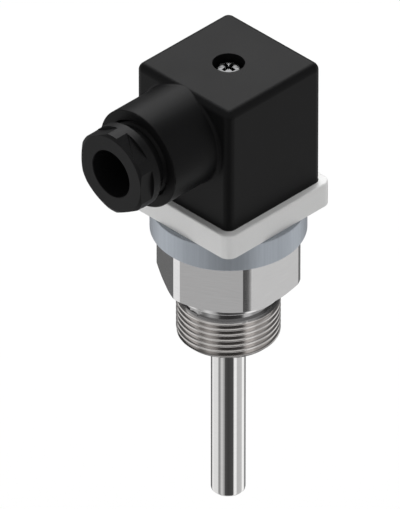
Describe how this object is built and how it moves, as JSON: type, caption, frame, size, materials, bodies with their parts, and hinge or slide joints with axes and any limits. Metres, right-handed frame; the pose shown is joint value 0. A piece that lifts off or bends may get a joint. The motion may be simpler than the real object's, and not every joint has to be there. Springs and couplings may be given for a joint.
{
  "type": "temperature sensor",
  "caption": "Screw-in temperature sensor: closed steel probe tube, hexagon fitting with parallel thread, and a square cable plug with a side gland.",
  "frame": {"origin": "centre of the sealing face under the hexagon, on the probe's axis", "axes": "+Z along the probe's axis, up to the plug; the probe points down -Z; the cable leaves along -Y"},
  "size_m": [0.036, 0.0556, 0.1187],
  "materials": {
    "black_plastic": "fine satin moulded finish",
    "block_plastic": "smooth moulded finish",
    "grey_plastic": "smooth moulded finish",
    "ring_metal": "turned, blue-grey",
    "stainless": "turned and brushed",
    "spring_steel": "phosphated",
    "black_rubber": "smooth",
    "screw_steel": "zinc plated",
    "brass": "bright turned",
    "tinned_brass": "tin plated",
    "ceramic": "fired, unglazed",
    "lead_red": "insulated lead",
    "lead_white": "insulated lead",
    "lead_green": "insulated lead"
  },
  "bodies": {
    "root": {"socket_housing": "black_plastic", "terminal_block": "block_plastic", "connector_base": "grey_plastic", "head_ring": "ring_metal", "process_fitting": "stainless", "protection_tube": "stainless", "insert_sheath": "stainless", "insert_collar": "stainless", "retaining_ring": "spring_steel", "profile_gasket": "black_rubber", "gland_seal": "black_rubber", "base_seal": "black_rubber", "base_screws": "screw_steel", "clamp_screws": "screw_steel", "threaded_insert": "brass", "contact_1": "brass", "contact_2": "brass", "contact_3": "brass", "earth_contact": "brass", "pin_1": "tinned_brass", "pin_2": "tinned_brass", "pin_3": "tinned_brass", "earth_pin": "tinned_brass", "ceramic_insulator": "ceramic", "sensing_element": "ceramic", "lead_1": "lead_red", "lead_2": "lead_white", "lead_3": "lead_red", "earth_lead": "lead_green"},
    "screw_seal": {"screw_seal": "black_rubber"},
    "fixing_screw": {"fixing_screw": "screw_steel"},
    "thrust_washer": {"thrust_washer": "block_plastic"},
    "gland_screw": {"gland_screw": "black_plastic"}
  },
  "joints": [
    {"name": "screw_lift", "type": "slide", "parent": "root", "child": "screw_seal", "axis": [0, 0, 1], "range_m": [0, 0.005]},
    {"name": "screw_turn", "type": "hinge", "parent": "screw_seal", "child": "fixing_screw", "pos_m": [0, 0, 0.0555], "axis": [0, 0, 1], "range_deg": [0, 3600]},
    {"name": "gland_travel", "type": "slide", "parent": "root", "child": "thrust_washer", "axis": [0, -1, 0], "range_m": [-0.00212, 0.00388]},
    {"name": "gland_turn", "type": "hinge", "parent": "thrust_washer", "child": "gland_screw", "pos_m": [0, -0.03, 0.0466], "axis": [0, -1, 0], "range_deg": [-540, 990]}
  ],
  "couplings": [
    {"joint": "screw_turn", "follows": "screw_lift", "rad_per_m": 12566},
    {"joint": "gland_turn", "follows": "gland_travel", "rad_per_m": 4452.7}
  ]
}
